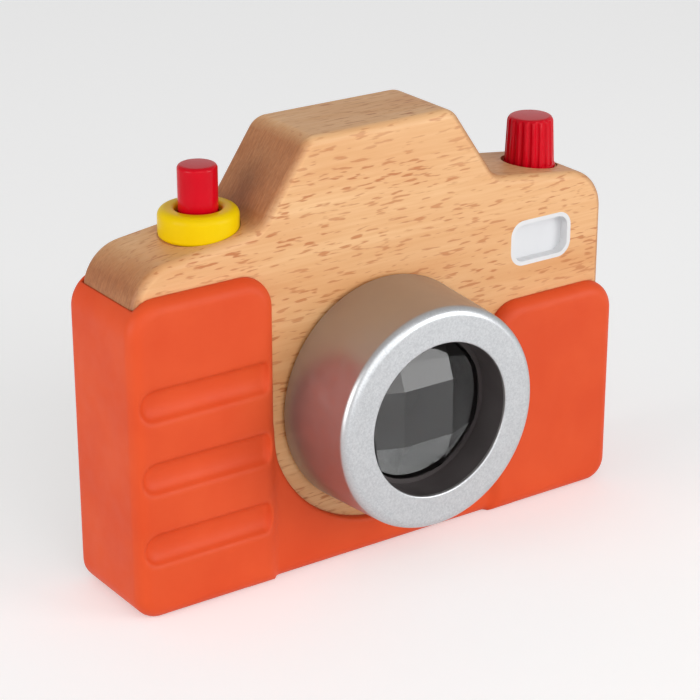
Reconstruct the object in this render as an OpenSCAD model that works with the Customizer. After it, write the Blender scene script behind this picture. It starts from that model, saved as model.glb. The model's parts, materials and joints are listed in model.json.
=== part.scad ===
// Toy camera: a beech block in a silicone jacket, with a turning faceted lens, a sprung shutter
// button, a turning knob, a flash and a sound module behind a screwed back panel.
// Millimetres. +Z is up, the lens looks along -Y, and the origin is the middle of the underside.

/* [Wooden body] */
// Width over the silicone jacket
overall_w = 130; // [128:1:134]
// Thickness of the wood, front to back
body_t = 22; // [22:0.5:25]
// Height of the hump's flat top above the underside
hump_top_z = 99.5; // [97:0.5:103]
// Width of the hump's flat top, corner to corner
hump_top_w = 38.4; // [34:0.4:42]
// Width of the hump where it meets the shoulders
hump_base_w = 62.8; // [62:0.2:64]
// Height of the shoulders where they meet the hump
shoulder_z = 81.6; // [81:0.2:83]
// Fall of the shoulders towards the sides, in degrees
shoulder_fall = 7.4; // [6:0.2:8.4]
// Radius of the outer shoulder corners
shoulder_r = 10; // [7:0.5:12]
// Radius of the hump's top corners
hump_r = 5; // [3:0.5:6]
// Radius of the hollow where the hump rises from a shoulder
hump_foot_r = 6; // [4:0.5:8]
// Rounding of the wood's front and back edges
wood_edge_r = 2; // [1:0.25:2.5]

/* [Silicone jacket] */
// Thickness of the jacket on the sides and underneath
jacket_t = 2.4; // [2.2:0.1:2.8]
// How far the two grips stand proud of the wood's front
grip_t = 3.2; // [3.2:0.1:3.8]
// How far the strip under the lens stands proud of the wood's front
strip_t = 2; // [1.6:0.1:2.4]
// How far the lip stands proud of the wood's back
lip_t = 2.2; // [1.8:0.1:2.6]
// Width of the lip on the back
lip_w = 6.5; // [5:0.5:7]
// Height of the left grip
left_grip_z = 72.5; // [70:0.5:74]
// Height of the right grip
right_grip_z = 51.5; // [48:0.5:55]
// Radius of the grips' top corners
grip_r = 7.5; // [6:0.5:9]
// Radius of the jacket's bottom corners
jacket_foot_r = 5.5; // [4:0.5:7]
// Rounding of all the jacket's edges
jacket_edge_r = 3; // [2.4:0.2:3]
// Radius of the cut-out round the lens
cutout_r = 30; // [29:0.5:31]
// Number of finger grooves in the left grip
groove_count = 3; // [2:1:3]
// Width of a finger groove
groove_w = 7.2; // [6:0.2:8]
// Depth of a finger groove
groove_depth = 2; // [1:0.1:2.2]
// Distance between the grooves
groove_pitch = 16.5; // [15:0.5:17.5]

/* [Lens] */
// Height of the lens axis
lens_z = 38.5; // [37.5:0.25:39.5]
// Outer radius of the barrel at its front ring
barrel_r = 25.5; // [25:0.25:26.5]
// How much wider the barrel is at its foot
barrel_draft = 1.2; // [0:0.1:1.6]
// How far the barrel's front ring stands off the wood
barrel_l = 22; // [20:0.5:28]
// Radius of the barrel's mouth
mouth_r = 17.6; // [17.4:0.1:18]
// How deep the lens lies behind the front ring
lens_recess = 4.5; // [4.5:0.25:6]
// Gap between the turning barrel and the wood
barrel_gap = 0.8; // [0.6:0.1:1.2]

/* [Shutter button] */
// Distance of the button from the middle of the camera
button_offset = 39.8; // [39:0.2:41]
// Radius of the button
button_r = 4.3; // [4.1:0.1:4.5]
// Height of the button's top
button_top_z = 95; // [93:0.5:97]
// Travel of the button
button_travel = 3; // [2:0.25:3]
// Outer radius of the collar ring
collar_r = 8.7; // [8.4:0.1:9]
// Height of the collar ring
collar_h = 6.4; // [5.6:0.2:7.2]

/* [Knob] */
// Distance of the knob from the middle of the camera
knob_offset = 49.3; // [48:0.2:50]
// Radius of the knob at its foot
knob_foot_r = 5.75; // [5.5:0.05:6.2]
// Radius of the knob below its top
knob_top_r = 5.25; // [5:0.05:5.4]
// Height of the knob's top
knob_top_z = 90.4; // [88:0.2:93]
// Number of flutes round the knob
flute_count = 18; // [14:1:22]

/* [Flash] */
// Distance of the flash from the middle of the camera
flash_offset = 44.5; // [43.5:0.25:45]
// Height of the flash's middle
flash_z = 64.5; // [63.5:0.25:65]
// Width of the flash tray
flash_w = 17.4; // [16:0.2:17.6]
// Height of the flash tray
flash_h = 10.8; // [10:0.2:11.2]
// Corner radius of the flash tray
flash_r = 3.6; // [3:0.2:4.4]

/* [Hidden] */

$fn = 96;
cut = 1;             // how far a cutter reaches past the face it opens
fit = 0.15;          // gap round a glued or screwed-in piece
running_fit = 0.08;  // gap between a shaft and its bush
arc_step = 9;        // degrees between the points of a drawn arc

// Planes of the wooden body, front to back
front_y = -body_t / 2;
back_y = body_t / 2;
front_wall = 5;
pocket_y = front_y + front_wall;
panel_t = 4;
panel_y = back_y - panel_t;

// Body outline and the pocket for the works
body_half_w = overall_w / 2 - jacket_t;
wood_foot_r = 3.5;
function shoulder_at(x) = shoulder_z - (x - hump_base_w / 2) * tan(shoulder_fall);
body_side = [
    [body_half_w, jacket_t, wood_foot_r],
    [body_half_w, shoulder_at(body_half_w), shoulder_r],
    [hump_base_w / 2, shoulder_z, hump_foot_r],
    [hump_top_w / 2, hump_top_z, hump_r]
];
pocket_half_w = 55;
pocket_low_z = 13.5;
pocket_top_z = 69.5;
pocket_mid_z = (pocket_low_z + pocket_top_z) / 2;
pocket_h = pocket_top_z - pocket_low_z;
pocket_r = 4;
panel_ledge = 2.5;
panel_r = 5;
cover_screw_x = 53.2;
cover_screw_z = [15.3, 53.6];
cover_boss_r = 4.5;
cover_screw_r = 1.4;
cover_screw_l = 13;

// Front planes of the jacket
grip_front_y = front_y - grip_t;
strip_front_y = front_y - strip_t;
jacket_back_y = back_y + lip_t;
lip_low_z = 9.5;
lip_r = 5;
grip_x = cutout_r - 0.4;
strip_half_w = grip_x + grip_r;
strip_inset = 0.15;
flare = 0.8;
first_groove_z = 16.7;
groove_left_x = -overall_w / 2 + 1.8;
groove_right_x = -grip_x - 1.6;

// Lens: planes along Y and radii
ring_front_y = front_y - barrel_l;
ring_t = 0.8;
ring_edge_r = 2;
barrel_wall = 2.3;
barrel_foot_r = barrel_r + barrel_draft;
barrel_bevel = 0.4;
mouth_bevel = 0.5;
barrel_back_y = front_y - barrel_gap;
tube_flange_t = 3;
tube_r = 19.4;
lens_front_y = ring_front_y + lens_recess;
lens_t = 6.5;
facet_half_w = 6.5;
facet_foot_half_w = 18;
facet_slope = 22;
facet_depth = (facet_foot_half_w - facet_half_w) * tan(facet_slope);
lens_rim_y = lens_front_y + facet_depth;
lens_back_y = lens_front_y + lens_t;
lens_fit = 0.1;
lens_r = mouth_r - lens_fit;
lens_clear_r = 15.5;
neck_r = 17.94;
neck_end_y = pocket_y + 2.8;
bush_r = 20;
bush_flange_r = 22.4;
bush_flange_t = 1.2;
retainer_w = 1;
facet_r = mouth_r - retainer_w - lens_fit;
clip_t = 0.9;
clip_y = pocket_y + 0.65;
clip_play = 0.05;
clip_bite = 1;
clip_lap = 0.4;
clip_mouth = 8;

// Viewing tunnel
tunnel_w = 25;
tunnel_h = 17;
tunnel_wall = 1.5;
tunnel_rim = 3;
tunnel_r = 2;
tunnel_gap = 0.8;
mask_r = 18.4;
mask_t = 1.2;
tunnel_flange_t = 1.2;
pane_t = 1.2;
pane_recess = 0.2;
pane_gap = 0.1;

// Shutter button: heights
button_x = -button_offset;
collar_hole_r = 5;
collar_hole_edge_r = 0.9;
collar_top_r = 1.8;
collar_foot_r = 1;
collar_seat_z = shoulder_at(button_offset + collar_r) - 0.1;
guide_r = 6.2;
guide_floor_t = 1.5;
guide_floor_z = pocket_top_z + guide_floor_t;
stem_r = 1.2;
stem_hole_r = stem_r + 0.5;
button_wall = 1.2;
button_edge_r = 1;
skirt_z = guide_floor_z + button_travel + 0.4;
spring_top_z = skirt_z + 9.6;
spring_r = 2.3;
spring_wire_r = 0.3;
spring_turns = 7;
stem_end_z = pocket_top_z - 4;
switch_top_z = stem_end_z - button_travel - 0.3;
e_clip_t = 0.6;
e_clip_bite = 0.4;
e_clip_z = pocket_top_z - 1.1;
e_groove_z = [e_clip_z - 0.1, e_clip_z + e_clip_t + 0.1];
button_clip_r = 3;
button_clip_mouth = 1.2;

// Knob: heights
knob_x = knob_offset;
knob_seat_r = 6.6;
knob_seat_z = shoulder_at(knob_offset + knob_seat_r) - 0.4;
knob_foot_z = knob_seat_z + 0.4;
knob_rim_h = 0.9;
knob_rim_out = 0.25;
knob_edge_r = 1.1;
knob_bush_r = 3.2;
spindle_r = 2;
knob_clip_r = 3.4;
knob_clip_mouth = 2;
spindle_end_z = pocket_top_z - 2.5;
spindle_top_z = knob_top_z - 4;
flute_r = 0.62;
flute_depth = 0.4;

// Flash
flash_x = flash_offset;
flash_wall = 1;
flash_recess = 2.4;
flash_pane_y = front_y + flash_recess;
flash_pane_t = 1;
flash_ledge = 0.5;
flash_slope = 1;
flash_floor_t = 1;
flash_back_y = pocket_y + 1.6;
led_r = 2.5;
led_rim = 0.4;
led_rim_t = 1;
led_tip = 0.5;
led_reach = 2.4;
led_leg_x = 1.27;
led_leg_w = 0.5;

// Sound module
board_t = 1.2;
board_back_y = panel_y - 2.6;
board_front_y = board_back_y - board_t;
board_x = [-46, 47.8];
board_z = [50, 66.5];
post_x = 24;
post_z = 62;
post_r = 3;
board_screw_r = 1.1;
board_screw_bite = 3;
board_screw_head_h = 1.4;
chip_x = -6;
chip_z = 57;
speaker_x = 33;
speaker_z = 33;
speaker_r = 14;
speaker_rim_t = 1.4;
speaker_depth = 7;
magnet_r = 8;
magnet_t = 3;
cap_r = 4;
cone_depth = 2.6;
cap_depth = 1.6;
sound_hole_r = 1.1;
sound_hole_pitch = 4.2;
gasket_t = 0.8;
gasket_w = 2;
lead_r = 0.6;
lead_y = board_back_y + lead_r;
lead_reach = 2;
speaker_lead_angles = [112, 130];
battery_lead_x = [0, 3];

// Battery box: three button cells in a triangle, seen from the front
cell_r = 5.8;
cell_t = 5.4;
cell_gap = 0.2;
cell_cap_r = 5;
cell_cap_t = 0.5;
cell_bevel = 0.3;
contact_r = 3.8;
contact_t = 0.4;
contact_gap = 0.3;
door_t = 2.4;
door_y = back_y - door_t;
door_inner_y = panel_y + 0.2;
cell_back_y = door_inner_y - contact_t - contact_gap;
cell_front_y = cell_back_y - cell_t;
cell_x = -34;
cell_z = 27;
cell_pitch = 12.6;
cell_rise = 11.2;
cells = [
    [cell_x - cell_pitch / 2, cell_z],
    [cell_x + cell_pitch / 2, cell_z],
    [cell_x, cell_z + cell_rise]
];
box_half_w = 14.5;
box_z = [19, 46.3];
box_mid_z = (box_z[0] + box_z[1]) / 2;
box_h = box_z[1] - box_z[0];
box_r = 2;
box_floor_t = 1.2;
box_front_y = cell_front_y - contact_t - box_floor_t;
box_flange = 2.5;
box_flange_t = 1.2;
door_rim = 1.7;
door_r = 4;
door_gap = 0.3;
door_screw_r = 1;
door_screw_l = 8;
door_screw_xz = [[cell_x - 11, box_z[1] - 3.5], [cell_x + 12.4, box_z[0] + 2.1]];

function unit(v) = v / norm(v);

// Points of the arc of radius r that rounds the corner b between a and c
function corner_arc(a, b, c, r) =
    let (u = unit(a - b),
         v = unit(c - b),
         half = acos(u * v) / 2,
         reach = r / tan(half),
         start = b + u * reach,
         stop = b + v * reach,
         centre = b + unit(u + v) * r / sin(half),
         from = atan2(start[1] - centre[1], start[0] - centre[0]),
         to = atan2(stop[1] - centre[1], stop[0] - centre[0]),
         turn = (to - from + 540) % 360 - 180,
         steps = ceil(abs(turn) / arc_step))
    r == 0 ? [b] : [for (i = [0:steps]) centre + r * [cos(from + turn * i / steps),
                                                      sin(from + turn * i / steps)]];

// Outline through corners that are given as [x, y, radius]
function rounded(corners) =
    let (n = len(corners),
         at = [for (c = corners) [c[0], c[1]]])
    [for (i = [0:n - 1]) each corner_arc(at[(i + n - 1) % n], at[i], at[(i + 1) % n], corners[i][2])];

// Corners of the same outline drawn in by d, for corners that run anticlockwise; sharp corners stay sharp
function inset(corners, d) =
    let (n = len(corners),
         at = [for (c = corners) [c[0], c[1]]])
    [for (i = [0:n - 1])
        let (u = unit(at[(i + n - 1) % n] - at[i]),
             v = unit(at[(i + 1) % n] - at[i]),
             side = sign(cross(v, u)),
             moved = at[i] + side * unit(u + v) * d / sin(acos(u * v) / 2),
             r = corners[i][2])
        [moved[0], moved[1], r == 0 ? 0 : r - side * d]];

// Both sides of a symmetrical outline, from the corners of its right side
function both_sides(side) =
    concat(side, [for (i = [len(side) - 1:-1:0]) [-side[i][0], side[i][1], side[i][2]]]);

// Rectangle with round corners about a centre
function plate_outline(x, z, w, h, r) =
    rounded([[x - w / 2, z - h / 2, r], [x + w / 2, z - h / 2, r],
             [x + w / 2, z + h / 2, r], [x - w / 2, z + h / 2, r]]);

// Upright slab: an outline in X and Z, from one Y plane to another
module slab(y_front, y_back)
    translate([0, y_back, 0])
        rotate([90, 0, 0])
            linear_extrude(y_back - y_front)
                children();

module plate(x, z, w, h, r, y_front, y_back)
    slab(y_front, y_back)
        polygon(plate_outline(x, z, w, h, r));

// Turned pieces: outlines of radius against height
module turned_z(x)
    translate([x, 0, 0])
        rotate_extrude()
            children();

module turned_y(x, z)
    translate([x, 0, z])
        rotate([-90, 0, 0])
            rotate_extrude()
                children();

module bar_z(x, r, z_low, z_high)
    translate([x, 0, z_low])
        cylinder(h = z_high - z_low, r = r);

module bar_y(x, z, r, y_front, y_back)
    translate([x, y_front, z])
        rotate([-90, 0, 0])
            cylinder(h = y_back - y_front, r = r);

// Slab whose front and back edges are rounded by r: its outline draws in towards both faces
module soft_slab(corners, y_front, y_back, r) {
    steps = 5;
    angles = [for (i = [0:steps]) 90 * i / steps];
    levels = concat(
        [for (a = angles) [r * (1 - sin(a)), y_front + r * (1 - cos(a))]],
        [for (i = [steps:-1:0]) [r * (1 - sin(angles[i])), y_back - r * (1 - cos(angles[i]))]]
    );
    loops = [for (l = levels) [for (p = rounded(inset(corners, l[0]))) [p[0], l[1], p[1]]]];
    n = len(loops[0]);
    last = n * (len(levels) - 1);
    walls = [
        for (k = [0:len(levels) - 2], i = [0:n - 1])
            let (a = k * n + i,
                 b = k * n + (i + 1) % n)
            each [[a, b, b + n], [a, b + n, a + n]]
    ];
    front = [for (i = [0:n / 2 - 2]) each [[n - 1 - i, n - 2 - i, i + 1], [n - 1 - i, i + 1, i]]];
    back = [for (t = front) [last + t[2], last + t[1], last + t[0]]];
    polyhedron([for (l = loops) each l], concat(walls, front, back));
}

// Flat spring ring with a gap on one side
module open_ring(r_in, r_out, t, gap)
    difference() {
        cylinder(h = t, r = r_out);
        translate([0, 0, -cut])
            cylinder(h = t + 2 * cut, r = r_in);
        translate([-gap / 2, 0, -cut])
            cube([gap, r_out + cut, t + 2 * cut]);
    }

// Countersunk cross-head screw along Y, its head at the back; r is the radius of its shank
module countersunk_screw(x, z, r, head_y, length) {
    tip_y = head_y - length;
    tip_r = 0.3 * r;
    tip_l = 2 * r;
    head_r = 2 * r;
    slot_l = 2.6 * r;
    slot_w = 0.4 * r;
    slot_depth = 0.5 * r;
    difference() {
        turned_y(x, z)
            polygon([[0, tip_y], [tip_r, tip_y], [r, tip_y + tip_l],
                     [r, head_y - r], [head_r, head_y], [0, head_y]]);
        for (turn = [0, 90])
            translate([x, head_y - slot_depth, z])
                rotate([0, turn, 0])
                    translate([-slot_l / 2, 0, -slot_w / 2])
                        cube([slot_l, slot_depth + cut, slot_w]);
    }
}

module screw_hole(x, z, r, head_y, depth)
    turned_y(x, z)
        polygon([[0, head_y - depth], [r, head_y - depth], [r, head_y - r], [2 * r, head_y],
                 [2 * r, head_y + cut], [0, head_y + cut]]);

module body_shape()
    polygon(rounded(both_sides(body_side)));

module at_cover_screws()
    for (side = [-1, 1], z = cover_screw_z)
        translate([side * cover_screw_x, z])
            children();

module wood_body()
    color("burlywood")
        difference() {
            soft_slab(both_sides(body_side), front_y, back_y, wood_edge_r);
            slab(pocket_y, back_y + cut)
                difference() {
                    polygon(plate_outline(0, pocket_mid_z, 2 * pocket_half_w, pocket_h, pocket_r));
                    at_cover_screws()
                        circle(cover_boss_r);
                }
            slab(panel_y, back_y + cut)
                panel_shape(0);
            for (side = [-1, 1], z = cover_screw_z)
                bar_y(side * cover_screw_x, z, cover_screw_r, pocket_y + 2, panel_y + cut);
            bar_y(0, lens_z, bush_r, front_y - cut, pocket_y + cut);
            bar_y(0, lens_z, bush_flange_r, front_y - cut, front_y + bush_flange_t);
            bar_z(button_x, collar_r + fit, collar_seat_z, hump_top_z);
            bar_z(button_x, guide_r, pocket_top_z - cut, collar_seat_z + cut);
            bar_z(knob_x, knob_seat_r, knob_seat_z, hump_top_z);
            bar_z(knob_x, knob_bush_r, pocket_top_z - cut, knob_seat_z + cut);
            plate(flash_x, flash_z, flash_w, flash_h, flash_r, front_y - cut, flash_back_y + cut);
            for (side = [-1, 1])
                bar_y(side * post_x, post_z, board_screw_r, pocket_y - board_screw_bite, pocket_y + cut);
        }

// One side of the jacket, with the radii of its corners from the low left, anticlockwise
module grip(x_low, x_high, top_z, radii)
    soft_slab([[x_low, 0, radii[0]], [x_high, 0, radii[1]],
               [x_high, top_z, radii[2]], [x_low, top_z, radii[3]]],
              grip_front_y, jacket_back_y, jacket_edge_r);

// Strip that joins the grips under the lens: a bar with rounded edges and a flared cut-out round the barrel
module strip()
    difference() {
        translate([-strip_half_w, 0, 0])
            rotate([90, 0, 90])
                linear_extrude(2 * strip_half_w)
                    polygon(rounded([
                        [strip_front_y, strip_inset, jacket_edge_r],
                        [jacket_back_y - strip_inset, strip_inset, jacket_edge_r],
                        [jacket_back_y - strip_inset, lens_z, 0],
                        [strip_front_y, lens_z, 0]
                    ]));
        turned_y(0, lens_z)
            polygon([
                [0, strip_front_y - cut], [cutout_r + flare, strip_front_y - cut],
                [cutout_r + flare, strip_front_y], [cutout_r + flare / 4, strip_front_y + flare / 3],
                [cutout_r, strip_front_y + flare], [cutout_r, back_y], [0, back_y]
            ]);
    }

// Scoop with round ends for one finger, turned about its own axis
module finger_groove(z) {
    scoop_r = (groove_w * groove_w / 4 + groove_depth * groove_depth) / (2 * groove_depth);
    low_x = groove_left_x + groove_w / 2;
    high_x = groove_right_x - groove_w / 2;
    translate([0, grip_front_y + groove_depth - scoop_r, z])
        rotate([0, 90, 0])
            rotate_extrude()
                polygon(concat(
                    [for (a = [-90:arc_step:0]) [scoop_r * cos(a), low_x + scoop_r * sin(a)]],
                    [for (a = [0:arc_step:90]) [scoop_r * cos(a), high_x + scoop_r * sin(a)]]
                ));
}

module silicone_jacket()
    color("orangered")
        difference() {
            union() {
                grip(-overall_w / 2, -grip_x, left_grip_z, [jacket_foot_r, 0, grip_r, grip_r]);
                grip(grip_x, overall_w / 2, right_grip_z, [0, jacket_foot_r, grip_r, grip_r]);
                strip();
            }
            slab(front_y, back_y)
                body_shape();
            slab(back_y - cut, jacket_back_y + cut)
                polygon(rounded([
                    [-overall_w / 2 + lip_w, lip_low_z, lip_r], [overall_w / 2 - lip_w, lip_low_z, lip_r],
                    [overall_w / 2 - lip_w, hump_top_z, 0], [-overall_w / 2 + lip_w, hump_top_z, 0]
                ]));
            for (i = [0:groove_count - 1])
                finger_groove(first_groove_z + i * groove_pitch);
        }

module panel_shape(gap)
    polygon(plate_outline(0, pocket_mid_z, 2 * (pocket_half_w + panel_ledge - gap),
                          pocket_h + 2 * (panel_ledge - gap), panel_r));

// Sound holes: rings of holes round a middle one
module sound_holes()
    for (ring = [0:2], i = [0:max(1, 6 * ring) - 1])
        rotate([0, 60 * i / max(1, ring), 0])
            bar_y(sound_hole_pitch * ring, 0, sound_hole_r, panel_y - cut, back_y + cut);

module door_outline(gap, y_front, y_back)
    plate(cell_x, box_mid_z, 2 * (box_half_w + door_rim + gap), box_h + 2 * (door_rim + gap), door_r,
          y_front, y_back);

module back_panel()
    color("tan")
        difference() {
            slab(panel_y, back_y)
                panel_shape(fit);
            for (side = [-1, 1], z = cover_screw_z)
                screw_hole(side * cover_screw_x, z, cover_screw_r, back_y, panel_t + cut);
            tunnel_plate(0, panel_y - cut, back_y + cut);
            tunnel_plate(tunnel_rim, back_y - tunnel_flange_t, back_y + cut);
            translate([speaker_x, 0, speaker_z])
                sound_holes();
            door_outline(door_gap, door_y, back_y + cut);
            door_outline(-door_rim, panel_y - cut, door_y + cut);
        }

module cover_screws()
    color("silver")
        for (side = [-1, 1], z = cover_screw_z)
            countersunk_screw(side * cover_screw_x, z, cover_screw_r, back_y, cover_screw_l);

module lens_barrel()
    color("gainsboro")
        turned_y(0, lens_z)
            polygon(concat(
                [[mouth_r, ring_front_y + mouth_bevel], [mouth_r + mouth_bevel, ring_front_y]],
                corner_arc([mouth_r, ring_front_y], [barrel_r, ring_front_y], [barrel_foot_r, barrel_back_y],
                           ring_edge_r),
                [[barrel_foot_r, barrel_back_y - barrel_bevel], [barrel_foot_r - barrel_bevel, barrel_back_y],
                 [barrel_r - barrel_wall, barrel_back_y], [barrel_r - barrel_wall, ring_front_y + ring_t],
                 [mouth_r, ring_front_y + ring_t]]
            ));

// Tube that carries the lens; its neck turns in the bush and has a groove for the clip
module lens_tube() {
    groove_r = neck_r - clip_bite;
    groove_y = [clip_y - clip_play, clip_y + clip_t + clip_play];
    color("dimgray")
        turned_y(0, lens_z)
            polygon([
                [mouth_r, ring_front_y + ring_t], [tube_r, ring_front_y + ring_t],
                [tube_r, barrel_back_y - tube_flange_t],
                [barrel_r - barrel_wall, barrel_back_y - tube_flange_t],
                [barrel_r - barrel_wall, barrel_back_y], [neck_r, barrel_back_y],
                [neck_r, groove_y[0]], [groove_r, groove_y[0]],
                [groove_r, groove_y[1]], [neck_r, groove_y[1]],
                [neck_r, neck_end_y], [lens_clear_r, neck_end_y],
                [lens_clear_r, lens_back_y], [mouth_r, lens_back_y]
            ]);
}

// Block about the lens axis, from a Y plane to just short of the lens's back
module lens_block(half_w, half_h, y_front)
    translate([-half_w, y_front, lens_z - half_h])
        cube([2 * half_w, lens_back_y - cut - y_front, 2 * half_h]);

// Clear disc with a raised front: a flat square, a sloping facet on each side and one at each corner,
// with a narrow flat rim for the retainer
module facet_lens()
    color("slategray")
        union() {
            bar_y(0, lens_z, lens_r, lens_rim_y, lens_back_y);
            intersection() {
                bar_y(0, lens_z, facet_r, lens_front_y - cut, lens_back_y - cut);
                hull() {
                    lens_block(facet_half_w, facet_half_w, lens_front_y);
                    lens_block(facet_foot_half_w, facet_half_w, lens_rim_y);
                    lens_block(facet_half_w, facet_foot_half_w, lens_rim_y);
                }
            }
        }

module lens_retainer()
    color("black")
        turned_y(0, lens_z)
            translate([mouth_r - retainer_w, lens_rim_y - retainer_w])
                square(retainer_w);

module lens_bush()
    color("whitesmoke")
        turned_y(0, lens_z)
            polygon([
                [neck_r + running_fit, front_y], [bush_flange_r, front_y],
                [bush_flange_r, front_y + bush_flange_t], [bush_r, front_y + bush_flange_t],
                [bush_r, pocket_y], [neck_r + running_fit, pocket_y]
            ]);

module barrel_clip()
    color("silver")
        translate([0, clip_y, lens_z])
            rotate([-90, 0, 0])
                open_ring(neck_r - clip_bite, bush_r + clip_lap, clip_t, clip_mouth);

// The tunnel's outline, drawn out by some distance all round
module tunnel_plate(out, y_front, y_back)
    plate(0, lens_z, tunnel_w + 2 * out, tunnel_h + 2 * out, tunnel_r + out / 2, y_front, y_back);

// Tunnel from the back panel to the lens, with a round mask behind the lens tube that hides the works
module view_tunnel() {
    mask_y = neck_end_y + tunnel_gap;
    color("black")
        difference() {
            union() {
                bar_y(0, lens_z, mask_r, mask_y, mask_y + mask_t);
                tunnel_plate(0, mask_y, back_y - tunnel_flange_t);
                tunnel_plate(tunnel_rim, back_y - tunnel_flange_t, back_y);
            }
            tunnel_plate(-tunnel_wall, front_y, back_y + cut);
            tunnel_plate(-tunnel_wall / 2, back_y - pane_t, back_y + cut);
        }
}

module eyepiece_window()
    color("lightblue", 0.5)
        tunnel_plate(-tunnel_wall / 2 - pane_gap, back_y - pane_t, back_y - pane_recess);

module collar_ring()
    color("gold")
        turned_z(button_x)
            polygon(rounded([
                [collar_hole_r, collar_seat_z, 0],
                [collar_r, collar_seat_z, collar_foot_r],
                [collar_r, collar_seat_z + collar_h, collar_top_r],
                [collar_hole_r, collar_seat_z + collar_h, collar_hole_edge_r]
            ]));

// Cup that guides the button and carries the spring
module button_guide()
    color("whitesmoke")
        turned_z(button_x)
            polygon([
                [stem_hole_r, pocket_top_z], [guide_r, pocket_top_z], [guide_r, collar_seat_z],
                [button_r + running_fit, collar_seat_z], [button_r + running_fit, guide_floor_z],
                [stem_hole_r, guide_floor_z]
            ]);

module shutter_button()
    color("crimson")
        turned_z(button_x)
            polygon(concat(
                [[0, stem_end_z], [stem_r, stem_end_z],
                 [stem_r, e_groove_z[0]], [stem_r - e_clip_bite, e_groove_z[0]],
                 [stem_r - e_clip_bite, e_groove_z[1]], [stem_r, e_groove_z[1]],
                 [stem_r, spring_top_z], [button_r - button_wall, spring_top_z],
                 [button_r - button_wall, skirt_z], [button_r, skirt_z]],
                corner_arc([button_r, skirt_z], [button_r, button_top_z], [0, button_top_z], button_edge_r),
                [[0, button_top_z]]
            ));

module button_clip()
    color("silver")
        translate([button_x, 0, e_clip_z])
            open_ring(stem_r - e_clip_bite, button_clip_r, e_clip_t, button_clip_mouth);

// Coil of round wire about the button's axis
module return_spring() {
    sides = 6;
    steps = 14;
    rings = spring_turns * steps;
    low = guide_floor_z + spring_wire_r;
    high = spring_top_z - spring_wire_r;
    points = [
        for (i = [0:rings], k = [0:sides - 1])
            let (a = 360 * i / steps,
                 b = 360 * k / sides,
                 reach = spring_r + spring_wire_r * cos(b))
            [reach * cos(a), reach * sin(a), low + (high - low) * i / rings + spring_wire_r * sin(b)]
    ];
    walls = [
        for (i = [0:rings - 1], k = [0:sides - 1])
            let (p = i * sides + k,
                 q = i * sides + (k + 1) % sides)
            each [[p, p + sides, q], [q, p + sides, q + sides]]
    ];
    first_cap = [for (k = [1:sides - 2]) [0, k, k + 1]];
    last = rings * sides;
    last_cap = [for (k = [1:sides - 2]) [last, last + k + 1, last + k]];
    color("silver")
        translate([button_x, 0, 0])
            polyhedron(points, concat(walls, first_cap, last_cap));
}

module tact_switch() {
    body_w = 6;
    body_h = 4;
    plunger_h = 1.5;
    plunger_r = 1.7;
    color("dimgray")
        union() {
            translate([button_x - body_w / 2, -body_w / 2, switch_top_z - plunger_h - body_h])
                cube([body_w, board_front_y + body_w / 2, body_h]);
            bar_z(button_x, plunger_r, switch_top_z - plunger_h - cut, switch_top_z);
        }
}

// Tapered knob with a rim at its foot and flutes up its side
module advance_knob() {
    flute_foot_z = knob_foot_z + knob_rim_h;
    rim_r = knob_foot_r + knob_rim_out;
    lean = atan((knob_foot_r - knob_top_r) / (knob_top_z - flute_foot_z));
    color("crimson")
        difference() {
            turned_z(knob_x)
                polygon(concat(
                    [[spindle_r, knob_foot_z], [rim_r, knob_foot_z],
                     [rim_r, flute_foot_z - knob_rim_out], [knob_foot_r, flute_foot_z]],
                    corner_arc([knob_foot_r, flute_foot_z], [knob_top_r, knob_top_z], [0, knob_top_z],
                               knob_edge_r),
                    [[0, knob_top_z], [0, spindle_top_z], [spindle_r, spindle_top_z]]
                ));
            translate([knob_x, 0, flute_foot_z])
                for (i = [0:flute_count - 1])
                    rotate([0, 0, 360 * (i + 0.5) / flute_count])
                        translate([knob_foot_r + flute_r - flute_depth, 0, 0])
                            rotate([0, -lean, 0])
                                cylinder(h = knob_top_z, r = flute_r, $fn = 24);
        }
}

module knob_spindle()
    color("silver")
        turned_z(knob_x)
            polygon([
                [0, spindle_end_z], [spindle_r, spindle_end_z],
                [spindle_r, e_groove_z[0]], [spindle_r - e_clip_bite, e_groove_z[0]],
                [spindle_r - e_clip_bite, e_groove_z[1]], [spindle_r, e_groove_z[1]],
                [spindle_r, spindle_top_z], [0, spindle_top_z]
            ]);

module knob_bush()
    color("whitesmoke")
        turned_z(knob_x)
            translate([spindle_r + running_fit, pocket_top_z])
                square([knob_bush_r - spindle_r - running_fit, knob_seat_z - pocket_top_z]);

module knob_clip()
    color("silver")
        translate([knob_x, 0, e_clip_z])
            open_ring(spindle_r - e_clip_bite, knob_clip_r, e_clip_t, knob_clip_mouth);

module flash_outline(inset, y_front, y_back)
    plate(flash_x, flash_z, flash_w - 2 * inset, flash_h - 2 * inset, flash_r - inset, y_front, y_back);

// Tray with a ledge for the window and walls that slope in towards the lamp
module flash_reflector() {
    thin = 0.1;
    ledge_y = flash_pane_y + flash_pane_t;
    floor_y = flash_back_y - flash_floor_t;
    throat = flash_wall + flash_ledge;
    color("white")
        difference() {
            flash_outline(0, front_y, flash_back_y);
            flash_outline(flash_wall, front_y - cut, ledge_y);
            hull() {
                flash_outline(throat, ledge_y - thin, ledge_y);
                flash_outline(throat + flash_slope, floor_y - thin, floor_y);
            }
            bar_y(flash_x, flash_z, led_r + running_fit, floor_y - cut, flash_back_y + cut);
        }
}

module flash_window()
    color("white", 0.7)
        flash_outline(flash_wall, flash_pane_y, flash_pane_y + flash_pane_t);

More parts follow.
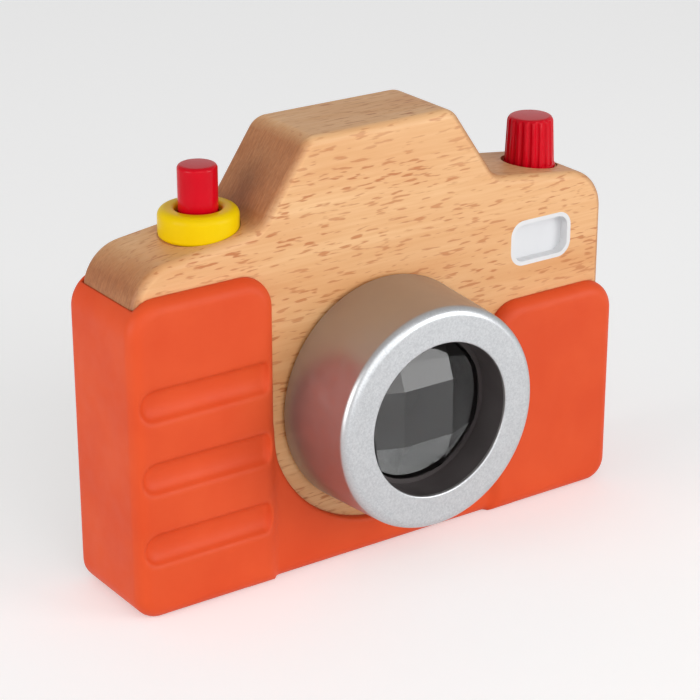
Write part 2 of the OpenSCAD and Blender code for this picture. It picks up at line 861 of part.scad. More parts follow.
// Round-nosed lamp behind the tray, with a rim at its foot and two legs to the board
module flash_led() {
    tip_y = flash_back_y - led_reach;
    rim_r = led_r + led_rim;
    rim_y = flash_back_y + led_rim_t;
    leg_y = rim_y - led_rim_t / 2;
    color("lightyellow")
        union() {
            turned_y(flash_x, flash_z)
                polygon(concat(
                    corner_arc([0, tip_y], [led_r, tip_y], [led_r, flash_back_y], led_r - led_tip),
                    [[led_r, flash_back_y], [rim_r, flash_back_y], [rim_r, rim_y], [0, rim_y], [0, tip_y]]
                ));
            for (side = [-1, 1])
                translate([flash_x + side * led_leg_x - led_leg_w / 2, leg_y, flash_z - led_leg_w / 2])
                    cube([led_leg_w, board_front_y - leg_y, led_leg_w]);
        }
}

module circuit_board()
    color("seagreen")
        difference() {
            plate((board_x[0] + board_x[1]) / 2, (board_z[0] + board_z[1]) / 2,
                  board_x[1] - board_x[0], board_z[1] - board_z[0], 1, board_front_y, board_back_y);
            for (side = [-1, 1])
                bar_y(side * post_x, post_z, board_screw_r, board_front_y - cut, board_back_y + cut);
        }

// Drop of black resin over the chip
module sound_chip() {
    drop_r = 5;
    drop_h = 1.8;
    dome_r = (drop_r * drop_r + drop_h * drop_h) / (2 * drop_h);
    sweep = asin(drop_r / dome_r);
    color("black")
        turned_y(chip_x, chip_z)
            polygon(concat(
                [[0, board_front_y]],
                [for (i = [0:6]) [dome_r * sin(sweep * (6 - i) / 6),
                                  board_front_y - drop_h + dome_r - dome_r * cos(sweep * (6 - i) / 6)]]
            ));
}

module board_posts()
    color("whitesmoke")
        for (side = [-1, 1])
            turned_y(side * post_x, post_z)
                translate([board_screw_r, pocket_y])
                    square([post_r - board_screw_r, board_front_y - pocket_y]);

// Pan-head screws that hold the board on its posts
module board_screws() {
    tip_y = pocket_y - board_screw_bite;
    head_r = 2 * board_screw_r;
    head_flat_r = 1.4 * board_screw_r;
    head_y = board_back_y + board_screw_head_h;
    color("silver")
        for (side = [-1, 1])
            turned_y(side * post_x, post_z)
                polygon([
                    [0, tip_y], [board_screw_r, tip_y + board_screw_r], [board_screw_r, board_back_y],
                    [head_r, board_back_y], [head_r, board_back_y + board_screw_head_h / 2],
                    [head_flat_r, head_y], [0, head_y]
                ]);
}

// Small loudspeaker: rim, tapered basket and magnet pot, with a dished cone towards the back
module speaker() {
    rim_y = panel_y - gasket_t;
    front = rim_y - speaker_depth;
    color("gray")
        turned_y(speaker_x, speaker_z)
            polygon([
                [0, front], [magnet_r, front], [magnet_r, front + magnet_t],
                [speaker_r - speaker_rim_t, rim_y - speaker_rim_t], [speaker_r, rim_y - speaker_rim_t],
                [speaker_r, rim_y], [speaker_r - gasket_w, rim_y],
                [cap_r, rim_y - cone_depth], [0, rim_y - cap_depth]
            ]);
}

module speaker_gasket()
    color("darkslategray")
        turned_y(speaker_x, speaker_z)
            translate([speaker_r - gasket_w, panel_y - gasket_t])
                square([gasket_w, gasket_t]);

// Thin wire through a few points
module lead(points)
    for (i = [0:len(points) - 2])
        hull()
            for (p = [points[i], points[i + 1]])
                translate(p)
                    sphere(lead_r, $fn = 8);

module speaker_leads()
    color("firebrick")
        for (angle = speaker_lead_angles) {
            x = speaker_x + (speaker_r + lead_r) * cos(angle);
            z = speaker_z + (speaker_r + lead_r) * sin(angle);
            lead([
                [x, panel_y - gasket_t - speaker_rim_t / 2, z],
                [x, lead_y, board_z[0] - lead_reach],
                [x, lead_y, board_z[0] + lead_reach]
            ]);
        }

// Box for the cells; its flange sits on the back panel, except on the side of the cover boss
module battery_box()
    color("dimgray")
        difference() {
            union() {
                plate(cell_x, box_mid_z, 2 * box_half_w, box_h, box_r, box_front_y, panel_y);
                plate(cell_x + box_flange / 2, box_mid_z,
                      2 * box_half_w + box_flange, box_h + 2 * box_flange, box_r,
                      panel_y - box_flange_t, panel_y);
            }
            for (c = cells)
                bar_y(c[0], c[1], cell_r + cell_gap, cell_front_y - contact_t, panel_y + cut);
            for (s = door_screw_xz)
                bar_y(s[0], s[1], door_screw_r + running_fit, back_y - door_screw_l - cut, panel_y + cut);
        }

module battery_cells()
    color("lightgray")
        for (c = cells)
            turned_y(c[0], c[1])
                polygon([
                    [0, cell_front_y], [cell_cap_r, cell_front_y],
                    [cell_cap_r, cell_front_y + cell_cap_t], [cell_r - cell_bevel, cell_front_y + cell_cap_t],
                    [cell_r, cell_front_y + cell_cap_t + cell_bevel],
                    [cell_r, cell_back_y - cell_bevel], [cell_r - cell_bevel, cell_back_y], [0, cell_back_y]
                ]);

module battery_contacts()
    color("silver")
        for (c = cells)
            bar_y(c[0], c[1], contact_r, cell_front_y - contact_t, cell_front_y);

module battery_leads()
    color("firebrick")
        for (shift = battery_lead_x)
            lead([
                [cell_x + shift, board_front_y, box_z[1] + lead_r],
                [cell_x + shift, lead_y, board_z[0] - lead_r],
                [cell_x + shift, lead_y, board_z[0] + lead_reach]
            ]);

module battery_door()
    color("tan")
        difference() {
            union() {
                door_outline(0, door_y, back_y);
                door_outline(-door_rim - door_gap, door_inner_y, door_y);
            }
            for (s = door_screw_xz)
                screw_hole(s[0], s[1], door_screw_r, back_y, panel_t + cut);
        }

module door_contacts()
    color("silver")
        for (c = cells)
            bar_y(c[0], c[1], contact_r, door_inner_y - contact_t, door_inner_y);

module door_screws()
    color("silver")
        for (s = door_screw_xz)
            countersunk_screw(s[0], s[1], door_screw_r, back_y, door_screw_l);

wood_body();
silicone_jacket();
back_panel();
cover_screws();
lens_barrel();
lens_tube();
facet_lens();
lens_retainer();
lens_bush();
barrel_clip();
view_tunnel();
eyepiece_window();
collar_ring();
button_guide();
shutter_button();
button_clip();
return_spring();
tact_switch();
advance_knob();
knob_spindle();
knob_bush();
knob_clip();
flash_reflector();
flash_window();
flash_led();
circuit_board();
sound_chip();
board_posts();
board_screws();
speaker();
speaker_gasket();
speaker_leads();
battery_box();
battery_cells();
battery_contacts();
battery_leads();
battery_door();
door_contacts();
door_screws();
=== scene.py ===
import json
import math

import bmesh
import bpy
import numpy as np
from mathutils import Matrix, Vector

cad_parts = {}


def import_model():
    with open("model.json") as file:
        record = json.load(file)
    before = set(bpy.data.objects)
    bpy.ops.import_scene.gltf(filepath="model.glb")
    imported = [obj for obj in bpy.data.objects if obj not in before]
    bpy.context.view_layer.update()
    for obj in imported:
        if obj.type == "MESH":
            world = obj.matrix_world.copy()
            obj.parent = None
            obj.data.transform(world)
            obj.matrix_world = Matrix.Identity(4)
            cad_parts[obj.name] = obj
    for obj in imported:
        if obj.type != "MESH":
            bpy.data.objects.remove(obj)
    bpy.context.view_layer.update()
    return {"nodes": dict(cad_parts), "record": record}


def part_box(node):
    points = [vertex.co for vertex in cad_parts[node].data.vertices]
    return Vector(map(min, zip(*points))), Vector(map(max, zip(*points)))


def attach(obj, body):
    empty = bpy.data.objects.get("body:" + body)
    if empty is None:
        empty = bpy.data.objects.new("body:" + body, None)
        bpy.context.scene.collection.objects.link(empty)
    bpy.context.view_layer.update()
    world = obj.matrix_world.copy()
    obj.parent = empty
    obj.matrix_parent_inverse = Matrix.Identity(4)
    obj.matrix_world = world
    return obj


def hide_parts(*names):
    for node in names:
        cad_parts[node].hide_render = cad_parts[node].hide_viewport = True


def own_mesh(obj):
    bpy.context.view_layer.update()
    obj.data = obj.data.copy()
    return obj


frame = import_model()
nodes = frame["nodes"]
scene = bpy.context.scene

# The part's sizes are millimetres and degrees, and its meshes are scaled to metres when they are made
MM = 0.001


def span(node):
    """Lowest and highest corner of a solid, in millimetres."""
    return [np.array(corner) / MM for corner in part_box(node)]


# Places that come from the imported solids
wood_low, wood_high = span("wood_body")
jacket_low, jacket_high = span("silicone_jacket")
barrel_low, barrel_high = span("lens_barrel")
collar_low, collar_high = span("collar_ring")
button_low, button_high = span("shutter_button")
guide_low, guide_high = span("button_guide")
clip_low, clip_high = span("button_clip")
knob_low, knob_high = span("advance_knob")
flash_low, flash_high = span("flash_reflector")
panel_low, panel_high = span("back_panel")
lens_bush_high = span("lens_bush")[1]
knob_bush_high = span("knob_bush")[1]
spindle_high = span("knob_spindle")[1]

WOOD_FRONT = wood_low[1]
WOOD_BACK = wood_high[1]
LENS_Z = (barrel_low[2] + barrel_high[2]) / 2
BUTTON_X = (collar_low[0] + collar_high[0]) / 2
KNOB_X = (knob_low[0] + knob_high[0]) / 2
PANEL_FRONT = panel_low[1]
POCKET_FRONT = lens_bush_high[1]

# Wooden body
SHOULDER_Z = 81.6
SHOULDER_FALL = 7.4
SHOULDER_R = 10
HUMP_TOP_W = 38.4
HUMP_BASE_W = 62.8
HUMP_R = 5
HUMP_FOOT_R = 6
WOOD_FOOT_R = 3.5
WOOD_EDGE_R = 2
POCKET_HALF_W = 55
POCKET_Z = (13.5, 69.5)
POCKET_R = 4
BOSS_X = 53.2
BOSS_Z = (15.3, 53.6)
BOSS_R = 4.5
LENS_BORE_R = 20
BUSH_SEAT_DEPTH = 1.2
FLASH_R = 3.6
PANEL_R = 5
SEAT_GAP = 0.15
KNOB_SEAT_R = 6.6
KNOB_SEAT_DEPTH = 0.4
CUT_PAST = 1

# Silicone jacket
GRIP_X = 29.6
RIGHT_GRIP_Z = 51.5
GRIP_R = 7.5
FOOT_R = 5.5
EDGE_R = 3.0
STRIP_FRONT = WOOD_FRONT - 2
CUTOUT_R = 30.4
LIP_W = 6.5
LIP_LOW_Z = 9.5
LIP_R = 5
LIP_CUT_FRONT = WOOD_BACK - 1
GROOVE_Z = (16.7, 33.2, 49.7)
GROOVE_X = (-63.2, -31.2)
GROOVE_W = 7.2
GROOVE_DEPTH = 2.0
GROOVE_END_SQUARENESS = 2.2
SEATING = 0.2  # how far the inner face lies inside the wood, so that no light shows between them
JACKET_STEP = 0.57

# How softly the jacket's forms run into each other; the grips' fillet on the strip fades out inside the wood
FILLET = 1.2
NO_FILLET = 0.001
FILLET_END = WOOD_FRONT + 1.5
FILLET_FADE = 2
CUTOUT_BLEND = 0.8
WOOD_BLEND = 0.3
LIP_BLEND = 1.2
GROOVE_BLEND = 0.7

# Lens barrel
BARREL_DRAFT = 1.2
BARREL_WALL = 2.3
MOUTH_R = 17.6
RING_T = 0.8
RING_EDGE_R = 2.0
BEAD_R = 0.4

# Collar, button and spring
COLLAR_HOLE_R = 5.0
COLLAR_FOOT_R = 1.0
COLLAR_TOP_R = 1.8
COLLAR_HOLE_EDGE_R = 0.9
STEM_R = 1.2
BUTTON_WALL = 1.2
BUTTON_EDGE_R = 0.9
SKIRT_Z = guide_low[2] + 4.9
SPRING_SEAT_Z = guide_low[2] + 14.5
CLIP_PLAY = 0.1
CLIP_BITE = 0.4
WIRE_R = 0.3
COIL_TURNS = 7

# Advance knob
KNOB_TOP_R = 5.25
KNOB_RIM_H = 0.9
KNOB_RIM_OUT = 0.25
KNOB_EDGE_R = 1.1
KNOB_EDGE_START = 8
FLUTE_COUNT = 18
FLUTE_R = 0.62
FLUTE_DEPTH = 0.42
FLUTE_STEP_H = 0.02
FLUTE_RUN_IN_H = 0.5

# Camera fitted to the photograph, with a longer lens and an aim that fill the picture with the part
CAMERA_AZIMUTH = -33.26
CAMERA_ELEVATION = 21.07
CAMERA_DISTANCE = 509
CAMERA_TARGET = Vector((-17.1, 0, 59.4))
CAMERA_LENS = 58.3
SENSOR_W = 36
CLOSER = 2.05
AIM = Vector((-4.5, -5, 46.5))

# Stage, with the floor in metres
FLOOR_HALF_W = 12.0
FLOOR_LIFT = 0.35
WORLD_LIGHT = 0.35
WORLD_SEEN = 0.666


# Outlines

def unit(v):
    return v / np.linalg.norm(v)


def corner_arc(a, b, c, r, step):
    """Points of the arc of radius r that rounds corner b between a and c."""
    if r <= 0:
        return [b]
    u, v = unit(a - b), unit(c - b)
    half = math.acos(np.clip(u @ v, -1, 1)) / 2
    start, stop = b + u * r / math.tan(half), b + v * r / math.tan(half)
    centre = b + unit(u + v) * r / math.sin(half)
    first = math.atan2(*(start - centre)[::-1])
    turn = (math.atan2(*(stop - centre)[::-1]) - first + 3 * math.pi) % (2 * math.pi) - math.pi
    count = max(2, round(abs(math.degrees(turn)) / step))
    angles = [first + turn * i / count for i in range(count + 1)]
    return [centre + r * np.array([math.cos(t), math.sin(t)]) for t in angles]


def rounded(corners, step=5):
    """Outline through corners given as (x, z, radius)."""
    at = [np.array(c[:2], float) for c in corners]
    points = []
    for i, corner in enumerate(corners):
        points += corner_arc(at[i - 1], at[i], at[(i + 1) % len(at)], corner[2], step)
    return np.array(points)


def inset(corners, d):
    """The same corners, which run anticlockwise, drawn in by d."""
    at = [np.array(c[:2], float) for c in corners]
    moved = []
    for i, corner in enumerate(corners):
        u, v = unit(at[i - 1] - at[i]), unit(at[(i + 1) % len(at)] - at[i])
        side = np.sign(v[0] * u[1] - v[1] * u[0])
        place = at[i] + side * unit(u + v) * d / math.sin(math.acos(u @ v) / 2)
        moved.append((place[0], place[1], max(corner[2] - side * d, 0)))
    return moved


def both_sides(side):
    return side + [(-x, z, r) for x, z, r in reversed(side)]


def box_corners(x0, x1, z0, z1, r):
    return [(x0, z0, r), (x1, z0, r), (x1, z1, r), (x0, z1, r)]


def circle(x, z, r, count=96):
    turns = np.arange(count) * 2 * math.pi / count
    return [(x + r * math.cos(t), z + r * math.sin(t)) for t in turns]


def arc(centre, r, first, last, count=8):
    """Points of an arc in a profile, between two angles."""
    angles = np.radians(np.linspace(first, last, count + 1))
    return [(centre[0] + r * math.cos(t), centre[1] + r * math.sin(t)) for t in angles]


SHOULDER_END_Z = SHOULDER_Z - (wood_high[0] - HUMP_BASE_W / 2) * math.tan(math.radians(SHOULDER_FALL))
WOOD_CORNERS = both_sides([
    (wood_high[0], wood_low[2], WOOD_FOOT_R),
    (wood_high[0], SHOULDER_END_Z, SHOULDER_R),
    (HUMP_BASE_W / 2, SHOULDER_Z, HUMP_FOOT_R),
    (HUMP_TOP_W / 2, wood_high[2], HUMP_R),
])


# Meshes

def shape(name, points, faces):
    """A new smooth mesh from points in millimetres."""
    mesh = bpy.data.meshes.new(name)
    mesh.from_pydata((np.asarray(points, float) * MM).tolist(), [], [list(map(int, f)) for f in faces])
    face_out(mesh)
    mesh.shade_smooth()
    obj = bpy.data.objects.new(name, mesh)
    scene.collection.objects.link(obj)
    return obj


def face_out(mesh):
    """Turns every face of a closed mesh outwards."""
    work = bmesh.new()
    work.from_mesh(mesh)
    bmesh.ops.recalc_face_normals(work, faces=work.faces)
    work.to_mesh(mesh)
    work.free()


def dress(obj, body, slot, material, *replaced):
    """Makes a shape a piece of the part: it rides on a body and stands for a solid."""
    obj.data.materials.clear()
    obj.data.materials.append(material)
    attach(obj, body)
    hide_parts(*replaced)


def crisp(obj, angle=35):
    """Smooth shading with sharp edges kept, and flat faces that look flat."""
    obj.data.set_sharp_from_angle(angle=math.radians(angle))
    normals = obj.modifiers.new("normals", "WEIGHTED_NORMAL")
    normals.keep_sharp = True
    normals.weight = 100


def turned(name, profile, centre, axis, segments=144, ripple=None):
    """A profile of (radius, height) points, run round an axis through centre; ripple shifts the radius."""
    angles = np.arange(segments) * 2 * math.pi / segments
    points, rings = [], []
    for radius, height in profile:
        if radius == 0:
            rings.append([len(points)] * segments)
            points.append((0, 0, height))
            continue
        rings.append(list(range(len(points), len(points) + segments)))
        for t in angles:
            r = radius + (ripple(radius, height, t) if ripple else 0)
            points.append((r * math.cos(t), r * math.sin(t), height))
    faces = []
    for low, high in zip(rings, rings[1:] + rings[:1]):
        if low[0] == low[1] and high[0] == high[1]:
            continue
        for i in range(segments):
            j = (i + 1) % segments
            faces.append(list(dict.fromkeys([low[i], low[j], high[j], high[i]])))
    points = np.array(points)
    if axis == "Y":
        points = np.stack([points[:, 0], points[:, 2], -points[:, 1]], 1)
    obj = shape(name, points + np.array(centre), faces)
    crisp(obj)
    return obj


def soft_slab(name, corners, y_front, y_back, r, steps=8):
    """Slab whose front and back edges are rounded by r."""
    turns = np.radians(np.linspace(0, 90, steps + 1))
    levels = [(r * (1 - math.sin(t)), y_front + r * (1 - math.cos(t))) for t in turns]
    levels += [(d, y_front + y_back - y) for d, y in reversed(levels)]
    loops = [rounded(inset(corners, d)) for d, _ in levels]
    n = len(loops[0])
    points = [(p[0], y, p[1]) for (_, y), loop in zip(levels, loops) for p in loop]
    faces = []
    for k in range(len(levels) - 1):
        for i in range(n):
            a, b = k * n + i, k * n + (i + 1) % n
            faces.append((a, b, b + n, a + n))
    faces.append(range(n - 1, -1, -1))
    faces.append(range(len(points) - n, len(points)))
    return shape(name, points, faces)


def prism(outline, y_front, y_back):
    """Plain slab of an outline in X and Z, used to cut."""
    n = len(outline)
    points = [(x, y, z) for y in (y_front, y_back) for x, z in outline]
    faces = [(i, (i + 1) % n, n + (i + 1) % n, n + i) for i in range(n)]
    faces += [range(n - 1, -1, -1), range(n, 2 * n)]
    return shape("cutter", points, faces)


def upright(x, r, z_low, z_high):
    """Upright cylinder, used to cut."""
    bar = prism(circle(x, 0, r), z_low, z_high)
    for v in bar.data.vertices:
        v.co = (v.co[0], v.co[2], v.co[1])
    face_out(bar.data)
    return bar


def cut(obj, *cutters):
    """Takes the cutters out of obj."""
    for cutter in cutters:
        modifier = obj.modifiers.new("cut", "BOOLEAN")
        modifier.operation = "DIFFERENCE"
        modifier.solver = "EXACT"
        modifier.object = cutter
        whole = obj.evaluated_get(bpy.context.evaluated_depsgraph_get())
        mesh = bpy.data.meshes.new_from_object(whole)
        obj.modifiers.clear()
        obj.data = mesh
        bpy.data.objects.remove(cutter)


# Soft shapes from distances: negative inside, in millimetres

def outline_distance(x, z, outline):
    """Signed distance of points to a closed outline in X and Z."""
    best = np.full(np.broadcast(x, z).shape, np.inf)
    sign = np.ones(best.shape)
    for a, b in zip(outline, np.roll(outline, -1, 0)):
        e = b - a
        wx, wz = x - a[0], z - a[1]
        t = np.clip((wx * e[0] + wz * e[1]) / (e @ e), 0, 1)
        best = np.minimum(best, (wx - e[0] * t) ** 2 + (wz - e[1] * t) ** 2)
        above, below = wz >= 0, z < b[1]
        left = e[0] * wz > e[1] * wx
        flips = (above & below & left) | (~above & ~below & ~left)
        sign = np.where(flips, -sign, sign)
    return sign * np.sqrt(best)


def slab_distance(flat, y, y_front, y_back, r):
    """Slab of an outline's flat distance, with edges rounded by r."""
    across = flat + r
    along = np.abs(y - (y_front + y_back) / 2) - (y_back - y_front) / 2 + r
    corner = np.hypot(np.maximum(across, 0), np.maximum(along, 0))
    return np.minimum(np.maximum(across, along), 0) + corner - r


def soft_min(a, b, k):
    """The smaller of two distances, blended where they differ by less than k."""
    blend = np.maximum(k - np.abs(a - b), 0) / k
    return np.minimum(a, b) - blend * blend * k / 4


def soft_max(a, b, k):
    return -soft_min(-a, -b, k)


LEFT_GRIP = rounded([
    (jacket_low[0], 0, FOOT_R), (-GRIP_X, 0, 0),
    (-GRIP_X, jacket_high[2], GRIP_R), (jacket_low[0], jacket_high[2], GRIP_R),
])
RIGHT_GRIP = rounded([
    (GRIP_X, 0, 0), (jacket_high[0], 0, FOOT_R),
    (jacket_high[0], RIGHT_GRIP_Z, GRIP_R), (GRIP_X, RIGHT_GRIP_Z, GRIP_R),
])
STRIP = rounded(box_corners(-GRIP_X - GRIP_R, GRIP_X + GRIP_R, 0, LENS_Z, 0))
LIP_OPENING = rounded([
    (jacket_low[0] + LIP_W, LIP_LOW_Z, LIP_R), (jacket_high[0] - LIP_W, LIP_LOW_Z, LIP_R),
    (jacket_high[0] - LIP_W, wood_high[2], 0), (jacket_low[0] + LIP_W, wood_high[2], 0),
])
WOOD_INSIDE = rounded(inset(WOOD_CORNERS, SEATING))


def groove_distance(x, y, z, groove_z):
    """Oval trough for one finger: round at its left end and nearly square at its right end."""
    half_w = GROOVE_W / 2
    left = GROOVE_X[0] + half_w
    right = GROOVE_X[1] - half_w / GROOVE_END_SQUARENESS
    past = np.maximum(left - x, 0) + np.maximum(x - right, 0) * GROOVE_END_SQUARENESS
    across = np.hypot(past, z - groove_z) / half_w
    down = (y - jacket_low[1]) / GROOVE_DEPTH
    return (np.hypot(across, down) - 1) * GROOVE_DEPTH


def jacket_distance(x, y, z):
    """The whole jacket: two grips and a strip, hollowed for the wood, the lens and the fingers."""
    front, back = jacket_low[1], jacket_high[1]
    left = slab_distance(outline_distance(x, z, LEFT_GRIP), y, front, back, EDGE_R)
    right = slab_distance(outline_distance(x, z, RIGHT_GRIP), y, front, back, EDGE_R)
    strip = slab_distance(outline_distance(x, z, STRIP), y, STRIP_FRONT, back, EDGE_R)
    cutout = np.maximum(np.hypot(x, z - LENS_Z) - CUTOUT_R, y)
    strip = soft_max(strip, -cutout, CUTOUT_BLEND)
    fillet = np.clip((FILLET_END - y) / FILLET_FADE, NO_FILLET, FILLET)
    skin = np.maximum(soft_min(np.minimum(left, right), strip, fillet), -z)
    wood = np.maximum(outline_distance(x, z, WOOD_INSIDE), np.abs(y) - WOOD_BACK + SEATING)
    skin = soft_max(skin, -wood, WOOD_BLEND)
    opening = np.maximum(outline_distance(x, z, LIP_OPENING), LIP_CUT_FRONT - y)
    skin = soft_max(skin, -opening, LIP_BLEND)
    for groove_z in GROOVE_Z:
        skin = soft_max(skin, -groove_distance(x, y, z, groove_z), GROOVE_BLEND)
    return skin


def surface_net(distance, low, high, step):
    """Points and quads of the surface where distance is nought, one point to each grid cell it crosses."""
    axes = [np.arange(a, b + step, step) for a, b in zip(low, high)]
    x, y, z = np.meshgrid(*axes, indexing="ij", sparse=True)
    value = distance(x, y, z)
    inside = value < 0
    shape_of_grid = np.array(value.shape)
    corners = [np.array((i, j, k)) for i in (0, 1) for j in (0, 1) for k in (0, 1)]

    def at(c):
        return tuple(slice(c[d], shape_of_grid[d] - 1 + c[d]) for d in range(3))

    count = sum(inside[at(c)].astype(int) for c in corners)
    cells = np.argwhere((count > 0) & (count < len(corners)))
    number = np.full(shape_of_grid - 1, -1)
    number[tuple(cells.T)] = np.arange(len(cells))

    total, hits = np.zeros((len(cells), 3)), np.zeros(len(cells))
    for a in corners:
        for d in range(3):
            if a[d]:
                continue
            b = a + np.eye(3, dtype=int)[d]
            va, vb = value[tuple((cells + a).T)], value[tuple((cells + b).T)]
            crossing = (va < 0) != (vb < 0)
            t = np.where(crossing, va / np.where(crossing, va - vb, 1), 0)
            total += crossing[:, None] * (a + t[:, None] * (b - a))
            hits += crossing
    points = np.array(low) + (cells + total / hits[:, None]) * step

    quads = []
    for d in range(3):
        u, v = np.eye(3, dtype=int)[(d + 1) % 3], np.eye(3, dtype=int)[(d + 2) % 3]
        here = [slice(1, -1)] * 3
        here[d] = slice(0, -1)
        there = list(here)
        there[d] = slice(1, None)
        first, second = inside[tuple(here)], inside[tuple(there)]
        offset = np.array([0 if k == d else 1 for k in range(3)])
        for leaving in (True, False):
            found = np.argwhere((first == leaving) & (second != leaving)) + offset
            ring = [found - u - v, found - v, found, found - u]
            quad = np.stack([number[tuple(c.T)] for c in ring], 1)
            quads.append(quad if leaving else quad[:, ::-1])
    return settle(points, distance, step), np.concatenate(quads)


def settle(points, distance, furthest, rounds=3, reach=1e-3, least_slope=0.25):
    """Moves points down the slope of the distance, onto the surface itself."""
    for _ in range(rounds):
        off = distance(*points.T)
        slope = np.zeros_like(points)
        for d in range(3):
            shift = reach * np.eye(3)[d]
            slope[:, d] = (distance(*(points + shift).T) - distance(*(points - shift).T)) / (2 * reach)
        size = np.maximum((slope ** 2).sum(1), least_slope)
        move = np.clip(off / size, -furthest, furthest)
        points = points - slope * move[:, None]
    return points


# Materials

class Paint:
    """Small helper that wires one Principled material out of procedural textures."""

    def __init__(self, name, **values):
        self.material = bpy.data.materials.new(name)
        self.material.use_nodes = True
        self.tree = self.material.node_tree
        self.shader = self.tree.nodes["Principled BSDF"]
        for socket, value in values.items():
            label = socket.replace("_", " ").title().replace("Ior", "IOR")
            self.shader.inputs[label].default_value = value

    def node(self, kind, **settings):
        made = self.tree.nodes.new("ShaderNode" + kind)
        for key, value in settings.items():
            setattr(made, key, value)
        return made

    def link(self, source, target):
        self.tree.links.new(source, target)

    def place(self, scale=(1, 1, 1)):
        """Object coordinates in millimetres, stretched by scale."""
        coords = self.node("TexCoord")
        mapping = self.node("Mapping")
        mapping.inputs["Scale"].default_value = [s / MM for s in scale]
        self.link(coords.outputs["Object"], mapping.inputs["Vector"])
        return mapping.outputs["Vector"]

    def noise(self, place, scale=1.0, detail=3, roughness=0.5):
        made = self.node("TexNoise")
        made.inputs["Scale"].default_value = scale
        made.inputs["Detail"].default_value = detail
        made.inputs["Roughness"].default_value = roughness
        self.link(place, made.inputs["Vector"])
        return made.outputs["Fac"]

    def ramp(self, value, *stops):
        """Maps a value through (position, colour or grey) stops."""
        made = self.node("ValToRGB")
        elements = made.color_ramp.elements
        while len(elements) < len(stops):
            elements.new(0.5)
        for element, (position, colour) in zip(elements, stops):
            element.position = position
            element.color = (*colour, 1) if hasattr(colour, "__len__") else (colour, colour, colour, 1)
        self.link(value, made.inputs["Fac"])
        return made.outputs["Color"]

    def mix(self, amount, a, b, mode="MIX"):
        made = self.node("Mix", data_type="RGBA", blend_type=mode)
        for socket, value in (("Factor", amount), ("A", a), ("B", b)):
            target = next(s for s in made.inputs if s.name == socket and s.enabled)
            if hasattr(value, "is_linked"):
                self.link(value, target)
            else:
                target.default_value = (*value, 1) if hasattr(value, "__len__") else value
        return next(s for s in made.outputs if s.enabled)

    def facing(self, axis):
        """One where a face looks along an axis of its piece, and nought where it lies along that axis."""
        parts = self.node("SeparateXYZ")
        self.link(self.node("TexCoord").outputs["Normal"], parts.inputs["Vector"])
        size = self.node("Math", operation="ABSOLUTE")
        self.link(parts.outputs[axis], size.inputs[0])
        return self.ramp(size.outputs["Value"], (0.15, 0), (0.85, 1))

    def colour(self, value):
        self.link(value, self.shader.inputs["Base Color"])

    def rough(self, value, middle, spread):
        """Roughness that a texture varies by spread, either side of the middle."""
        varied = self.ramp(value, (0.3, middle - spread), (0.7, middle + spread))
        self.link(varied, self.shader.inputs["Roughness"])

    def bump(self, value, strength, distance):
        made = self.node("Bump")
        made.inputs["Strength"].default_value = strength
        made.inputs["Distance"].default_value = distance * MM
        self.link(value, made.inputs["Height"])
        self.link(made.outputs["Normal"], self.shader.inputs["Normal"])


def srgb(code):
    """Linear colour from a six-digit code."""
    parts = [int(code[i:i + 2], 16) / 255 for i in (0, 2, 4)]
    return tuple(c / 12.92 if c <= 0.04045 else ((c + 0.055) / 1.055) ** 2.4 for c in parts)


def moulded(name, light, dark, roughness, grain=1.5, depth=0.02, **values):
    """A moulded or painted surface: slight mottling, uneven gloss and a fine skin."""
    paint = Paint(name, **values)
    place = paint.place()
    cloud = paint.noise(place, scale=0.06, detail=4)
    paint.colour(paint.ramp(cloud, (0.35, srgb(dark)), (0.65, srgb(light))))
    paint.rough(paint.noise(place, scale=0.25), roughness, 0.05)
    paint.bump(paint.noise(place, scale=grain), 0.25, depth)
    return paint.material


def wood(name, light, dark, fleck, end, end_light, roughness):
    """Beech with its grain along X: bands, fine fibres, short flecks in patches and browner end grain."""
    paint = Paint(name)
    bands = paint.noise(paint.place((0.012, 0.06, 0.1)), detail=4, roughness=0.6)
    fibres = paint.noise(paint.place((0.05, 1.2, 1.6)), detail=4, roughness=0.65)
    base = paint.mix(paint.ramp(bands, (0.3, 0), (0.72, 1)), srgb(light), srgb(dark))
    base = paint.mix(paint.ramp(fibres, (0.35, 0), (0.75, 0.55)), base, srgb(dark))
    ends = paint.facing("X")

    flecks = paint.noise(paint.place((0.27, 1.6, 1.6)), detail=1, roughness=0.4)
    patches = paint.noise(paint.place((0.02, 0.1, 0.12)), detail=2)
    mask = paint.ramp(flecks, (0.58, 0), (0.68, 0.88))
    mask = paint.mix(1.0, mask, paint.ramp(patches, (0.3, 0.35), (0.65, 1)), "MULTIPLY")
    mask = paint.mix(ends, mask, (0.0, 0.0, 0.0))
    base = paint.mix(mask, base, srgb(fleck))

    rays = paint.noise(paint.place((0.3, 3.0, 0.5)), roughness=0.6)
    sawn = paint.mix(paint.ramp(rays, (0.35, 0), (0.65, 1)), srgb(end), srgb(end_light))
    paint.colour(paint.mix(ends, base, sawn, "MULTIPLY"))
    paint.rough(fibres, roughness, 0.06)
    paint.bump(paint.mix(0.5, fibres, mask, "SUBTRACT"), 0.2, 0.03)
    return paint.material


def silver(name, light, dark, side, roughness):
    """Satin silver coat with a fine grain, bright on the front ring; the side colour is painted shade,
    darker to stand for the dimmer reflections round the barrel's side.
    """
    paint = Paint(name, metallic=0.85)
    place = paint.place()
    grain = paint.noise(place, scale=2.2, detail=4, roughness=0.7)
    face = paint.ramp(grain, (0.35, srgb(dark)), (0.65, srgb(light)))
    # Faces looking along Y keep the grained coat colour; the other faces take the side colour, which is
    # painted shade on the same coat
    paint.colour(paint.mix(paint.facing("Y"), srgb(side), face))
    paint.rough(paint.noise(place, scale=0.3), roughness, 0.03)
    paint.bump(grain, 0.1, 0.01)
    return paint.material


def clear(name, tint, roughness):
    """Clear plastic with a faint unevenness in its polish."""
    paint = Paint(name, base_color=(*srgb(tint), 1), transmission_weight=1, ior=1.49)
    paint.rough(paint.noise(paint.place(), scale=0.4), roughness, 0.01)
    return paint.material


